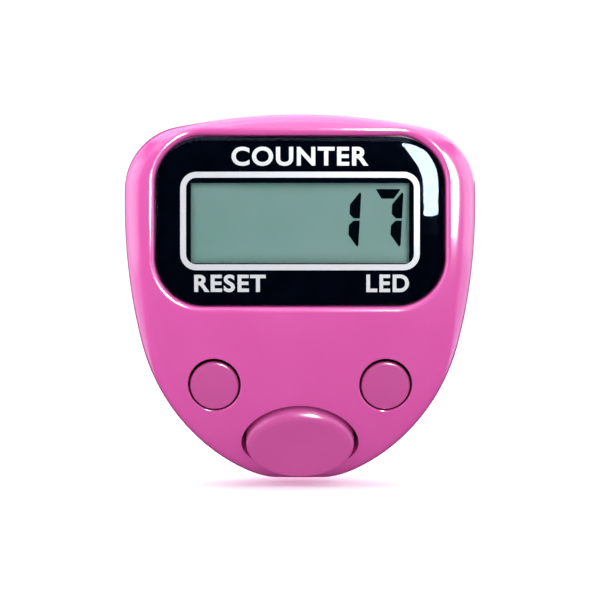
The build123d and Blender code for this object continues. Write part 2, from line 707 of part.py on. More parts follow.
def small_dome(x):
    """The hollow rubber dome under a small button."""
    height = SMALL_REAR - BOARD_FRONT
    with BuildPart() as dome:
        for radius, tall, mode in (
            (SMALL_DOME_R, height, Mode.ADD),
            (SMALL_DOME_R - DOME_WALL, height - DOME_WALL, Mode.SUBTRACT),
        ):
            with BuildSketch(FRONT.offset(BOARD_FRONT)):
                with Locations((x, SMALL_Z)):
                    Circle(radius)
            with BuildSketch(FRONT.offset(BOARD_FRONT + tall)):
                with Locations((x, SMALL_Z)):
                    Circle(radius - DOME_DRAFT)
            loft(mode=mode)
    return dome


def small_pill(x):
    """The conductive pill inside a small dome."""
    with BuildPart() as pill:
        with BuildSketch(FRONT.offset(SMALL_REAR - DOME_WALL)):
            with Locations((x, SMALL_Z)):
                Circle(SMALL_PILL_R)
        extrude(amount=-SMALL_PILL_T)
    return pill


reset_button, led_button = small_button(-SMALL_X), small_button(SMALL_X)
reset_dome, led_dome = small_dome(-SMALL_X), small_dome(SMALL_X)
reset_pill, led_pill = small_pill(-SMALL_X), small_pill(SMALL_X)

# ---- count button and its switch ----

with BuildPart() as count_button:
    add(count_cylinder(COUNT_R, FLANGE_REAR, -COUNT_PROUD))
    face_edges = count_button.faces().sort_by(lambda face: face.center().dot(COUNT_OUT))[-1].edges()
    fillet(face_edges, radius=COUNT_EDGE_R)
    add(count_cylinder(COUNT_FLANGE_R, FLANGE_REAR, COUNT_FLANGE_DEPTH))

with BuildPart() as count_dome:
    for radius, tall, mode in (
        (COUNT_DOME_R, COUNT_DOME_H, Mode.ADD),
        (COUNT_DOME_R - DOME_WALL, COUNT_DOME_H - DOME_WALL, Mode.SUBTRACT),
    ):
        with BuildSketch(count_plane(SWITCH_BOARD_DEPTH)):
            Circle(radius)
        with BuildSketch(count_plane(SWITCH_BOARD_DEPTH - tall)):
            Circle(radius - 2 * DOME_DRAFT)
        loft(mode=mode)

with BuildPart() as count_pill:
    add(count_cylinder(COUNT_PILL_R, FLANGE_REAR + DOME_WALL + COUNT_PILL_T, FLANGE_REAR + DOME_WALL))

with BuildPart() as switch_board:
    with BuildSketch(count_plane(SWITCH_BOARD_DEPTH)):
        with Locations((0, (SWITCH_BOARD_UP - SWITCH_BOARD_DOWN) / 2)):
            board = Rectangle(SWITCH_BOARD_W, SWITCH_BOARD_UP + SWITCH_BOARD_DOWN)
        chamfer(board.vertices().group_by(Axis.Y)[0], SWITCH_BOARD_CORNER)
    extrude(amount=-SWITCH_BOARD_T)

with BuildPart() as switch_wires:
    for x in (-WIRE_X, WIRE_X):
        leave = count_plane(SWITCH_BOARD_DEPTH + SWITCH_BOARD_T).from_local_coords((x, WIRE_UP, 0))
        rise = (WIRE_TOP - leave.Z) / -COUNT_OUT.Z
        corner = leave - COUNT_OUT * rise
        with BuildLine() as route:
            FilletPolyline(leave, corner, (x, -BOARD_REAR, WIRE_TOP), radius=WIRE_BEND)
        with BuildSketch(Plane(origin=leave, z_dir=-COUNT_OUT)):
            Circle(WIRE_R)
        sweep(path=route.line)

# ---- written pieces ----

PIECES = {
    "front_shell": front_shell,
    "back_cover": back_cover,
    "ring_strap": ring_strap,
    "display_window": display_window,
    "window_mask": window_mask,
    "front_polarizer": front_polarizer,
    "lcd_glass_front": lcd_glass_front,
    "lcd_glass_rear": lcd_glass_rear,
    "rear_polarizer": rear_polarizer,
    "backlight_diffuser": backlight_diffuser,
    "zebra_strip": zebra_strip,
    "lcd_holder": lcd_holder,
    "backlight_led": backlight_led,
    "main_board": main_board,
    "board_screws": board_screws,
    "chip_blob": chip_blob,
    "board_resistors": board_resistors,
    "battery_left": battery_left,
    "battery_right": battery_right,
    "battery_tray": battery_tray,
    "battery_contacts": battery_contacts,
    "battery_bridge": battery_bridge,
    "reset_button": reset_button,
    "led_button": led_button,
    "reset_dome": reset_dome,
    "led_dome": led_dome,
    "reset_pill": reset_pill,
    "led_pill": led_pill,
    "count_button": count_button,
    "count_dome": count_dome,
    "count_pill": count_pill,
    "switch_board": switch_board,
    "switch_wires": switch_wires,
}

for name, piece in PIECES.items():
    piece.part.label = name
    export_step(piece.part, f"parts/{name}.step")
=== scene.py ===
"""Looks of the finger-ring tally counter: materials, printed window, display, moulded strap, studio."""
import json
from math import atan2, cos, degrees, hypot, pi, radians, sin, sqrt

import bmesh
import bpy
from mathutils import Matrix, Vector
from mathutils.bvhtree import BVHTree


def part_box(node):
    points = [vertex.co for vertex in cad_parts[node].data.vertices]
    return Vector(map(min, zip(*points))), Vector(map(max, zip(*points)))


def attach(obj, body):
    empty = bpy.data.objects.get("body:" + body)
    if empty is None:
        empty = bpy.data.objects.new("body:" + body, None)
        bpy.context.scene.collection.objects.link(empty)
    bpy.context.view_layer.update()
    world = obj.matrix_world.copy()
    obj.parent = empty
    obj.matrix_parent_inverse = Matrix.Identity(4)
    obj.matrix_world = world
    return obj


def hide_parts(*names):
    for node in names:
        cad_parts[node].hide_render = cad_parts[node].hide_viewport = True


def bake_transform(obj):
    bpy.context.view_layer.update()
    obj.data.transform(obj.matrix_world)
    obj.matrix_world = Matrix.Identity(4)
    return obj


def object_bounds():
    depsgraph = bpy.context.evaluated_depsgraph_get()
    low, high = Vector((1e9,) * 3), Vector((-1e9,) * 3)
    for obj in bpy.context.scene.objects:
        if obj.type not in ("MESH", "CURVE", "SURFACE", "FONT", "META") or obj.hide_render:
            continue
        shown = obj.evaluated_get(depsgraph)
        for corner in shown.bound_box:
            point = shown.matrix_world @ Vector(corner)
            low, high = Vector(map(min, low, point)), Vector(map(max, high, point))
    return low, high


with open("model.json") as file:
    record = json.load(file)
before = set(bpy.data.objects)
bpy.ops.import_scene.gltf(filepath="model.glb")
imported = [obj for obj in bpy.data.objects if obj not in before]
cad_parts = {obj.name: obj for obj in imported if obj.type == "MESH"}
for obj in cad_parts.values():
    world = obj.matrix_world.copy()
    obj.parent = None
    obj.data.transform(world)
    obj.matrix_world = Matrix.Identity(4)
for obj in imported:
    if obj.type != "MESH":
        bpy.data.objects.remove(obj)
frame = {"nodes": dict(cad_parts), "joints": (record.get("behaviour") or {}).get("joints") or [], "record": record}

CAD_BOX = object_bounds()
MM = 0.001
NODES = frame["nodes"]
JOINTS = {joint["name"]: joint for joint in frame["joints"]}

# ---- driving dimensions, millimetres and degrees; "forward" is towards the display, -Y ----

# finger rest and strap loop
LOOP_R = 10.7
STRAP_T, STRAP_HALF_W = 1.2, 2.0
STRAP_CORNER_R, SEAM_CORNER_GROWTH = 0.45, 0.1
REST_R = 14.25
SEAM, SEAM_GAP, SEAM_LIP = 9.3, 0.1, 0.45
ROOT_UNDER, ROOT_UNDER_SEAM = -14.75, -16.5
ROOT_SLOPE = 16.8
ROOT_HALF_W = 12.0
FLARE_END = -5.0
THIN_ANGLE = 55.0  # from straight below, the back way, to where the root's taper ends
SIDE_WALL = 2.4  # depth of the root's side wall at the seam
TAIL_END_ANGLE = 43.3
LOOP_SQUARENESS, SEAM_SQUARENESS, SQUARENESS_FADE = 5.0, 1.7, 0.45  # of the section's outer side

# how finely the strap is divided: round half a section, and along its root, loop and tail
FLAT_STEPS, CORNER_STEPS, WALL_STEPS, BELLY_STEPS = 10, 6, 3, 24
ROOT_STATIONS, LOOP_STATIONS, TAIL_STATIONS = 36, 150, 60
SEAM_CROWDING = 1.3  # above 1, the root's stations crowd towards the seam

# window print
FRAME_W, FRAME_H, FRAME_R, FRAME_LINE = 22.4, 9.2, 1.5, 0.55
DISPLAY_Z = 8.8
PRINT_LIFT = 0.03
WORDS = {  # left, right, bottom and top on the front view
    "COUNTER": (-6.4, 6.4, 13.95, 15.75),
    "RESET": (-9.9, -3.2, 2.15, 3.8),
    "LED": (6.2, 10.2, 2.15, 3.8),
}
LETTER_WEIGHT, LETTER_SPACING = 0.03, 1.12  # in the font's own units

# window lens: its outline, and the case's crown that it follows
LENS_W, LENS_H, LENS_R, LENS_Z = 27.0, 15.8, 4.5, 8.8
LENS_T, LENS_RECESS = 0.75, 0.3
NOSE_FORWARD, NOSE_Z = 29.9, 6.9
BROW_R, CHIN_R = 100.0, 24.7
CROWN_X, CROWN_BACK, CROWN_UP = 17.0, 1.0, 0.5
PILLOW, PILLOW_W = 0.36, 2.3  # how far the lens falls off at its edge, over what width
LENS_INSETS = (0.0, 0.03, 0.1, 0.2, 0.35, 0.55, 0.8, 1.1, 1.4, 1.75, 2.1, 2.5, 3.0, 3.6, 4.3, 5.2, 6.2, 7.2)
SMALLEST_R = 0.05

# digits
DIGIT_W, DIGIT_H, STROKE = 2.9, 5.7, 1.0
DIGIT_BOTTOM, DIGIT_LEAN = 6.1, 0.055
DIGIT_LEFTS = {"1": 2.55, "7": 6.5}
DIGIT_SEGMENTS = {"1": ("upper right", "lower right"), "7": ("top", "upper right", "lower right")}
SEGMENT_GAP, SEGMENT_TAPER = 0.1, 0.42
SEGMENT_TIP, SEGMENT_END, SEGMENT_SHAVE = 0.28, 0.45, 0.12
SEGMENT_CORNER_R, SEGMENT_T, SEGMENT_LIFT = 0.09, 0.02, 0.01

# edges sharper than this are shaded as edges
LENS_CREASE, STRAP_CREASE, COVER_CREASE = 60, 40, 30

# studio, metres and watts
FLOOR_Z = CAD_BOX[0][2] - 0.4 * MM
STAGE_R, STAGE_CURVE, STAGE_WALL = 1.2, 0.5, 1.2
STAGE_RINGS, STAGE_SIDES, STAGE_TURN = 12, 96, 10
PAPER_GLOW = 0.2
AIR_COLOUR, AIR = (0.94, 0.95, 1.0, 1.0), 1.15
AIM = Vector((0.0, -0.01, 0.0))
NEUTRAL, PALE_BLUE, COOL, ICE = (1.0, 1.0, 1.0), (0.93, 0.93, 1.0), (0.88, 0.9, 1.0), (0.6, 0.92, 1.0)
LAMPS = {  # place, width and height, power, tint; the gloss lamps are seen in reflections alone
    "key": ((-0.1, -0.3, 0.66), (0.9, 0.7), 3.7, COOL),
    "left": ((-0.6, -0.12, 0.12), (0.7, 0.5), 2.0, PALE_BLUE),
    "right": ((0.6, -0.05, 0.16), (0.7, 0.5), 1.65, PALE_BLUE),
    "back": ((0.2, 0.6, 0.3), (0.6, 0.5), 1.3, NEUTRAL),
    "gloss_window": ((0.224, -0.528, 0.185), (0.19, 0.3), 17.0, NEUTRAL),
    "gloss_left": ((-0.55, 0.12, 0.05), (0.9, 0.8), 2.7, ICE),
    "gloss_right": ((0.55, 0.12, 0.05), (0.9, 0.8), 2.7, ICE),
    "gloss_top": ((0.0, 0.2, 0.6), (0.9, 0.6), 3.9, ICE),
}
CAMERA_LENS = 180.0
EYE_AWAY = Vector((0.0, -0.3, 0.004))
NEAREST, FARTHEST = 0.01, 20.0


def place(x, forward, z):
    """A point given in millimetres as right, forward and up."""
    return Vector((x, -forward, z)) * MM


def linear(red, green, blue):
    """A colour from its 0 to 255 screen values."""
    values = [channel / 255 for channel in (red, green, blue)]
    return tuple(v / 12.92 if v <= 0.04045 else ((v + 0.055) / 1.055) ** 2.4 for v in values) + (1.0,)


# ---- materials ----


class Surface:
    """A node material in the making, with its Principled shader and helpers for detail."""

    def __init__(self, name):
        self.material = bpy.data.materials.new(name)
        self.material.use_nodes = True
        self.tree = self.material.node_tree
        self.tree.nodes.clear()
        self.output = self.tree.nodes.new("ShaderNodeOutputMaterial")
        self.shader = self.tree.nodes.new("ShaderNodeBsdfPrincipled")
        self.coords = self.tree.nodes.new("ShaderNodeTexCoord").outputs["Object"]
        self.join(self.shader.outputs[0], self.output.inputs["Surface"])

    def node(self, kind, **values):
        made = self.tree.nodes.new(kind)
        for key, value in values.items():
            if key in made.inputs:
                made.inputs[key].default_value = value
            else:
                setattr(made, key, value)
        return made

    def join(self, source, target):
        self.tree.links.new(source, target)

    def noise(self, size, detail=3.0):
        """Noise whose blotches are about size millimetres across."""
        made = self.node("ShaderNodeTexNoise", Scale=1 / (size * MM), Detail=detail, Roughness=0.5)
        self.join(self.coords, made.inputs["Vector"])
        return made.outputs["Fac"]

    def patches(self, size, detail=3.0, low=0.3, high=0.7, least=0.0, most=1.0):
        """Blotches about size millimetres across: noise from low to high becomes least to most."""
        blotches = self.noise(size, detail)
        made = self.node("ShaderNodeMapRange")
        self.join(blotches, made.inputs["Value"])
        for key, number in zip(("From Min", "From Max", "To Min", "To Max"), (low, high, least, most)):
            made.inputs[key].default_value = number
        return made.outputs["Result"]

    def mix(self, factor, first, second):
        """first where factor is 0, second where it is 1; each a colour or a socket."""
        made = self.node("ShaderNodeMix", data_type="RGBA")
        self.join(factor, made.inputs["Factor"])
        for slot, colour in ((6, first), (7, second)):
            if isinstance(colour, tuple):
                made.inputs[slot].default_value = colour
            else:
                self.join(colour, made.inputs[slot])
        return made.outputs[2]

    def colour(self, socket):
        self.join(socket, self.shader.inputs["Base Color"])

    def rough(self, low, high, size):
        """Roughness that wanders between low and high in blotches of size."""
        self.join(self.patches(size, least=low, most=high), self.shader.inputs["Roughness"])

    def bump(self, height, size, detail=2.0):
        """A bump whose height is in micrometres."""
        made = self.node("ShaderNodeBump", Strength=1.0, Distance=height * MM * MM)
        self.join(self.noise(size, detail), made.inputs["Height"])
        self.join(made.outputs["Normal"], self.shader.inputs["Normal"])

    def set(self, **values):
        for key, value in values.items():
            self.shader.inputs[key.replace("_", " ")].default_value = value

    def show(self, shader):
        """Put another shader in the Principled one's place."""
        self.tree.nodes.remove(self.shader)
        self.join(shader.outputs[0], self.output.inputs["Surface"])


def moulded_plastic(name, deep, pale, gloss=(0.2, 0.26), coat=0.8, mirror=0.5):
    """Moulded plastic: slow flow clouds in the colour, an uneven soft gloss, light bleeding through edges.

    A gloss that wanders across about 0.27 shows as patches in a denoised render, so each stays on one side.
    """
    s = Surface(name)
    clouds = s.patches(9.0, 2.0)
    swirls = s.patches(5.0, 1.0, low=0.2, high=0.8, most=0.12)
    lighter = tuple(min(1.0, channel * 1.12) for channel in pale[:3]) + (1.0,)
    s.colour(s.mix(swirls, s.mix(clouds, deep, pale), lighter))
    s.rough(*gloss, 5.0)
    s.bump(4.0, 2.5, 1.0)
    s.set(IOR=1.48, Subsurface_Weight=0.2, Subsurface_Scale=1.4 * MM, Subsurface_Radius=(1.0, 0.22, 0.45))
    s.set(Coat_Weight=coat, Coat_Roughness=0.18, Specular_IOR_Level=mirror)
    return s.material


def clear_window():
    """Clear polished plastic: what is behind it shows, and the lights mirror in it."""
    s = Surface("window_clear")
    fresnel = s.node("ShaderNodeFresnel", IOR=1.5)
    haze = s.patches(1.2, 5.0, low=0.45, high=0.8, least=0.02, most=0.07)
    clear = s.node("ShaderNodeBsdfTransparent", Color=(0.98, 0.985, 0.99, 1.0))
    gloss = s.node("ShaderNodeBsdfAnisotropic", Color=(0.24, 0.3, 0.4, 1.0))
    s.join(haze, gloss.inputs["Roughness"])
    both = s.node("ShaderNodeMixShader")
    s.join(fresnel.outputs[0], both.inputs[0])
    s.join(clear.outputs[0], both.inputs[1])
    s.join(gloss.outputs[0], both.inputs[2])
    s.show(both)
    return s.material


def clear_rear():
    """The window's inner side, wetted by its print: it lets light through and mirrors nothing."""
    s = Surface("window_rear")
    clear = s.node("ShaderNodeBsdfTransparent")
    s.join(s.mix(s.patches(3.0, 2.0), (0.97, 0.98, 0.98, 1.0), (0.99, 0.99, 1.0, 1.0)), clear.inputs["Color"])
    s.show(clear)
    return s.material


def black_mask():
    """Screen-printed black with a blue cast, a little uneven."""
    s = Surface("printed_black")
    s.colour(s.mix(s.patches(2.0, 4.0), linear(2, 8, 20), linear(6, 14, 28)))
    s.rough(0.5, 0.65, 0.8)
    s.bump(1.0, 0.15)
    s.set(Specular_IOR_Level=0.0)
    return s.material


def white_print():
    """White screen print: slightly grey where the ink is thin, and given a faint glow of painted light so that it
    stays white.
    """
    s = Surface("printed_white")
    thin = s.patches(0.5, low=0.4, high=0.75, most=0.5)
    s.colour(s.mix(thin, linear(254, 255, 255), linear(244, 248, 252)))
    s.rough(0.35, 0.5, 0.5)
    s.bump(1.5, 0.12)
    # painted light: the print glows faintly, though it is no lamp
    s.set(Emission_Color=(1.0, 1.0, 1.0, 1.0), Emission_Strength=0.25)
    return s.material


def display_film():
    """The grey-green polarizer over the reflector, finely grained and a little uneven."""
    s = Surface("display_film")
    wide = s.patches(7.0, 2.0)
    grain = s.patches(0.12, 2.0, low=0.35, high=0.65, most=0.35)
    s.colour(s.mix(grain, s.mix(wide, linear(142, 204, 186), linear(156, 206, 192)), linear(162, 214, 198)))
    s.rough(0.4, 0.55, 0.6)
    s.bump(1.0, 0.08)
    s.set(Specular_IOR_Level=0.16)
    return s.material


def display_ink():
    """A switched-on segment: nearly black, bluish, with the film's grain showing through."""
    s = Surface("display_ink")
    s.colour(s.mix(s.patches(0.15, 2.0), linear(4, 14, 20), linear(9, 22, 28)))
    s.rough(0.5, 0.65, 0.6)
    s.set(Specular_IOR_Level=0.0)
    return s.material


def plain_plastic(name, dark, light, rough=(0.4, 0.55)):
    """The unseen inner pieces' plastic, resin or rubber: slightly cloudy, finely pitted."""
    s = Surface(name)
    s.colour(s.mix(s.patches(3.0, 4.0), dark, light))
    s.rough(*rough, 1.5)
    s.bump(4.0, 0.3)
    return s.material


def circuit_board():
    """Green solder mask over a brick pattern of copper, paler between the bricks."""
    s = Surface("circuit_board")
    brick = s.node("ShaderNodeTexBrick", Scale=1 / (1.6 * MM), offset=0.5)
    brick.inputs["Mortar Size"].default_value = 0.12
    brick.inputs["Color1"].default_value = linear(22, 92, 58)
    brick.inputs["Color2"].default_value = linear(28, 104, 64)
    brick.inputs["Mortar"].default_value = linear(60, 140, 86)
    turned = s.node("ShaderNodeMapping")
    turned.inputs["Rotation"].default_value = (pi / 2, 0.0, 0.0)
    s.join(s.coords, turned.inputs["Vector"])
    s.join(turned.outputs[0], brick.inputs["Vector"])
    s.colour(s.mix(s.patches(2.0, low=0.4, high=0.8, most=0.5), brick.outputs["Color"], linear(18, 74, 48)))
    s.rough(0.25, 0.4, 1.0)
    s.bump(6.0, 0.4)
    return s.material


def nickel():
    """Nickel plate, cloudy and finely scuffed."""
    s = Surface("nickel_plate")
    s.colour(s.mix(s.patches(1.5, 5.0), linear(188, 186, 182), linear(214, 213, 210)))
    s.rough(0.18, 0.38, 0.6)
    s.bump(2.0, 0.1, 4.0)
    s.set(Metallic=1.0)
    return s.material


CASE = moulded_plastic("case_plastic", linear(208, 80, 156), linear(212, 84, 161))
STRAP = moulded_plastic(
    "strap_plastic", linear(214, 88, 166), linear(219, 93, 172), (0.32, 0.4), coat=0.0, mirror=0.1
)
KEYS = moulded_plastic("button_plastic", linear(190, 72, 141), linear(195, 76, 146), (0.28, 0.35), coat=0.15)
MASK = black_mask()
INK = white_print()
FILM = display_film()
SEGMENT = display_ink()
WINDOW = clear_window()
WINDOW_REAR = clear_rear()
WHITE = plain_plastic("white_plastic", linear(226, 226, 220), linear(240, 240, 236))
RUBBER = plain_plastic("silicone_rubber", linear(158, 158, 156), linear(176, 176, 174), (0.55, 0.7))
CARBON = plain_plastic("black_resin", linear(18, 18, 20), linear(32, 32, 34))
CABLE = plain_plastic("wire_insulation", linear(168, 26, 30), linear(190, 34, 38))
BOARD = circuit_board()
NICKEL = nickel()

FINISH = {
    "case_plastic": CASE,
    "button_plastic": KEYS,
    "window": WINDOW,
    "black_print": CARBON,
    "lcd": FILM,
    "white_plastic": WHITE,
    "dome_rubber": RUBBER,
    "circuit_board": BOARD,
    "steel": NICKEL,
    "wire": CABLE,
}

for row in frame["record"]["subparts"]:
    mesh = NODES[row["node"]].data
    mesh.materials.clear()
    mesh.materials.append(MASK if row["node"] == "window_mask" else FINISH[row["material_slot"]])


# ---- mesh helpers ----


def new_piece(name, points, faces, material, smooth=True):
    """An object from points in metres and lists of their numbers."""
    mesh = bpy.data.meshes.new(name)
    mesh.from_pydata([tuple(point) for point in points], [], faces)
    mesh.materials.append(material)
    work = bmesh.new()
    work.from_mesh(mesh)
    bmesh.ops.recalc_face_normals(work, faces=work.faces)
    for face in work.faces:
        face.smooth = smooth
    work.to_mesh(mesh)
    work.free()
    piece = bpy.data.objects.new(name, mesh)
    bpy.context.scene.collection.objects.link(piece)
    return piece


def bands(rows, count):
    """The faces between neighbouring closed rings of count points each."""
    faces = []
    for row in range(rows - 1):
        for k in range(count):
            nxt = (k + 1) % count
            faces.append((row * count + k, row * count + nxt, (row + 1) * count + nxt, (row + 1) * count + k))
    return faces


def sharpen(piece, angle):
    """Smooth shading that breaks at edges sharper than angle."""
    piece.data.set_sharp_from_angle(angle=radians(angle))


def front_of(node):
    """Gives a function: how far forward a node's front is, in millimetres, at a place on the front view."""
    source = NODES[node].data
    tree = BVHTree.FromPolygons([v.co for v in source.vertices], [tuple(p.vertices) for p in source.polygons])

    def reach(x, z):
        hit = tree.ray_cast(Vector((x * MM, -0.1, z * MM)), Vector((0, 1, 0)))[0]
        return -hit.y / MM

    return reach


# ---- printed window: white frame line and words on the mask ----

MASK_FRONT = front_of("window_mask")


def print_piece(name, outline_points, faces):
    """Flat white artwork laid on the curved mask: points are (x, z) in millimetres on the front view."""
    points = [place(x, MASK_FRONT(x, z) + PRINT_LIFT, z) for x, z in outline_points]
    piece = new_piece(name, points, faces, INK, smooth=False)
    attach(piece, "case")


def rounded_rectangle(width, height, radius, centre_z, steps=8, run=24):
    """Points round a rectangle with round corners, the straight sides divided too."""
    corners = ((1, 1, 0), (-1, 1, 90), (-1, -1, 180), (1, -1, 270))
    arcs = []
    for side_x, side_z, start in corners:
        cx, cz = side_x * (width / 2 - radius), side_z * (height / 2 - radius)
        turns = [radians(start + 90 * k / steps) for k in range(steps + 1)]
        arcs.append([(cx + radius * cos(t), centre_z + cz + radius * sin(t)) for t in turns])
    points = []
    for arc, following in zip(arcs, arcs[1:] + arcs[:1]):
        points += arc
        (x0, z0), (x1, z1) = arc[-1], following[0]
        points += [(x0 + (x1 - x0) * k / run, z0 + (z1 - z0) * k / run) for k in range(1, run)]
    return points


def frame_line():
    """The white line round the display."""
    outer = rounded_rectangle(FRAME_W, FRAME_H, FRAME_R, DISPLAY_Z)
    inner = rounded_rectangle(
        FRAME_W - 2 * FRAME_LINE, FRAME_H - 2 * FRAME_LINE, FRAME_R - FRAME_LINE, DISPLAY_Z
    )
    print_piece("print_frame_line", outer + inner, bands(2, len(outer)))


def word(text, left, right, bottom, top):
    """A printed word stretched to a box on the front view."""
    curve = bpy.data.curves.new("print_" + text, "FONT")
    curve.body = text
    curve.offset = LETTER_WEIGHT
    curve.space_character = LETTER_SPACING
    curve.resolution_u = 8
    carrier = bpy.data.objects.new("carrier", curve)
    mesh = bpy.data.meshes.new_from_object(carrier)
    bpy.data.objects.remove(carrier)
    work = bmesh.new()
    work.from_mesh(mesh)
    bmesh.ops.remove_doubles(work, verts=work.verts, dist=1e-5)
    bmesh.ops.triangulate(work, faces=work.faces)
    work.verts.ensure_lookup_table()
    xs, ys = [v.co.x for v in work.verts], [v.co.y for v in work.verts]
    stretch_x, stretch_z = (right - left) / (max(xs) - min(xs)), (top - bottom) / (max(ys) - min(ys))
    flat = [(left + (x - min(xs)) * stretch_x, bottom + (y - min(ys)) * stretch_z) for x, y in zip(xs, ys)]
    faces = [tuple(v.index for v in face.verts) for face in work.faces]
    work.free()
    print_piece("print_" + text.lower(), flat, faces)


frame_line()
for text, box in WORDS.items():
    word(text, *box)


# ---- window lens ----


def crown(x, z):
    """How far forward the case's crowned front is, in millimetres, at a place on the front view."""
    fall = (x / CROWN_X) ** 2
    rise = z - NOSE_Z - CROWN_UP * fall
    radius = BROW_R if rise > 0 else CHIN_R
    return NOSE_FORWARD - CROWN_BACK * fall - radius + sqrt(radius**2 - rise**2)


def lens_ring(inset, depth):
    """A ring of the lens: in from its edge, and behind the case's crown."""
    width, height, radius = LENS_W - 2 * inset, LENS_H - 2 * inset, max(LENS_R - inset, SMALLEST_R)
    outline = rounded_rectangle(width, height, radius, LENS_Z, steps=12, run=30)
    return [place(x, crown(x, z) - depth, z) for x, z in outline]


def lens():
    """The clear lens: crowned like the case, rolled off round its edge, its rear in its own finish."""
    rings = []
    for inset in LENS_INSETS:
        share = max(1 - inset / PILLOW_W, 0.0)
        rings.append(lens_ring(inset, LENS_RECESS + PILLOW * (1 - sqrt(1 - share**2))))
    rims, count = len(rings), len(rings[0])
    rings.append(lens_ring(0.0, LENS_RECESS + LENS_T))
    faces = bands(rims, count)
    faces += [(k, rims * count + k, rims * count + (k + 1) % count, (k + 1) % count) for k in range(count)]
    faces += [tuple(range((rims - 1) * count, rims * count)), tuple(range(rims * count, (rims + 1) * count))]
    piece = new_piece("window_lens", [point for ring in rings for point in ring], faces, WINDOW)
    piece.data.materials.append(WINDOW_REAR)
    piece.data.polygons[len(faces) - 1].material_index = 1
    sharpen(piece, LENS_CREASE)
    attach(piece, "case")
    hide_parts("display_window")


lens()

# ---- digits on the display ----


def segment(kind):
    """The outline of one display segment inside its digit's own box."""
    w, h, t, gap, taper = DIGIT_W, DIGIT_H, STROKE, SEGMENT_GAP, SEGMENT_TAPER
    if kind == "top":
        foot, inner = h - t + gap, t - SEGMENT_SHAVE
        return [(SEGMENT_TIP, h), (w - SEGMENT_TIP, h), (w - inner, foot), (inner, foot)]
    upper = [
        (w, h - SEGMENT_END),
        (w, h / 2 + gap),
        (w - t + taper, h / 2 + gap),
        (w - t, h / 2 + gap + taper),
        (w - t, h - t - taper),
        (w - SEGMENT_SHAVE, h - SEGMENT_TIP),
    ]
    return upper if kind == "upper right" else [(x, h - z) for x, z in upper]


def digit_segment(name, left, kind):
    """One switched-on segment, with slightly rounded corners, on the display's film."""
    leaned = [(left + x + DIGIT_LEAN * z, DIGIT_BOTTOM + z) for x, z in segment(kind)]
    film_front = -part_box("front_polarizer")[0].y / MM
    work = bmesh.new()
    corners = [work.verts.new(place(x, film_front + SEGMENT_LIFT, z)) for x, z in leaned]
    work.faces.new(corners)
    bmesh.ops.bevel(
        work, geom=corners, offset=SEGMENT_CORNER_R * MM, segments=3, affect="VERTICES", profile=0.5
    )
    made = bmesh.ops.extrude_face_region(work, geom=list(work.faces))
    for vertex in [v for v in made["geom"] if isinstance(v, bmesh.types.BMVert)]:
        vertex.co.y -= SEGMENT_T * MM
    work.verts.index_update()
    points = [v.co.copy() for v in work.verts]
    faces = [tuple(v.index for v in f.verts) for f in work.faces]
    work.free()
    piece = new_piece(name, points, faces, SEGMENT, smooth=False)
    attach(piece, "case")


for digit, kinds in DIGIT_SEGMENTS.items():
    for kind in kinds:
        digit_segment(f"digit_{digit}_{kind.replace(' ', '_')}", DIGIT_LEFTS[digit], kind)


# ---- the strap and its root: one soft moulding, lofted from the seam round the loop to the tail ----

PIVOT_JOINT = JOINTS["strap_flex"]["pos_m"]
PIVOT = (-PIVOT_JOINT[1] / MM, PIVOT_JOINT[2] / MM)
FLARE_REACH, FLARE_SPREAD = SEAM - FLARE_END, ROOT_HALF_W - STRAP_HALF_W
FLARE_R = (FLARE_REACH**2 + FLARE_SPREAD**2) / (2 * FLARE_SPREAD)


def half_width(forward):
    """The strap's half-width: constant up to the flare's end, then along an arc to the seam.

    It goes by the place forward alone, so the loop's top end flares a little as well.
    """
    reach = max(forward - FLARE_END, 0.0)
    return STRAP_HALF_W + FLARE_R - sqrt(FLARE_R**2 - reach**2)


def underside(forward):
    """Height of the root's underside between the pivot and the seam: one arc, tangent to its slope."""
    x, z = SEAM - PIVOT[0], ROOT_UNDER_SEAM - ROOT_UNDER
    along = Vector((cos(radians(ROOT_SLOPE)), -sin(radians(ROOT_SLOPE))))
    normal = Vector((-along.y, along.x))
    radius = (x * x + z * z) / (2 * (x * normal.x + z * normal.y))
    centre = normal * radius
    run = forward - PIVOT[0]
    side = -1 if radius > 0 else 1
    return ROOT_UNDER + centre.y + side * sqrt(radius**2 - (run - centre.x) ** 2)


def taper_circle():
    """Centre and radius of the root's outer arc: from the loop's outside, tangent, to under the pivot."""
    outer = LOOP_R + STRAP_T
    turn = radians(THIN_ANGLE)
    start = Vector((-sin(turn), -cos(turn))) * outer
    inward = Vector((sin(turn), cos(turn)))
    run = Vector((PIVOT[0], ROOT_UNDER)) - start
    radius = run.length_squared / (2 * run.dot(inward))
    return start + inward * radius, radius


TAPER_CENTRE, TAPER_R = taper_circle()


def loop_thickness(angle):
    """Thickness of the loop at an angle from straight below, the back way."""
    if angle >= THIN_ANGLE:
        return STRAP_T
    out = Vector((-sin(radians(angle)), -cos(radians(angle))))
    along = out.dot(TAPER_CENTRE)
    return along + sqrt(along**2 - TAPER_CENTRE.length_squared + TAPER_R**2) - LOOP_R


def section(width, depth, wall, power, corner):
    """Half of a section as (across, depth) from the inner face's middle to the underside's middle."""
    points = [((width - corner) * k / FLAT_STEPS, 0.0) for k in range(FLAT_STEPS)]
    for k in range(CORNER_STEPS + 1):
        turn = radians(90 * k / CORNER_STEPS)
        points.append((width - corner + corner * sin(turn), corner * (1 - cos(turn))))
    points += [(width, corner + (wall - corner) * k / WALL_STEPS) for k in range(1, WALL_STEPS)]
    for k in range(BELLY_STEPS + 1):
        turn = radians(90 * k / BELLY_STEPS)
        across, down = cos(turn) ** (2 / power), sin(turn) ** (2 / power)
        points.append((width * across, wall + (depth - wall) * down))
    return points


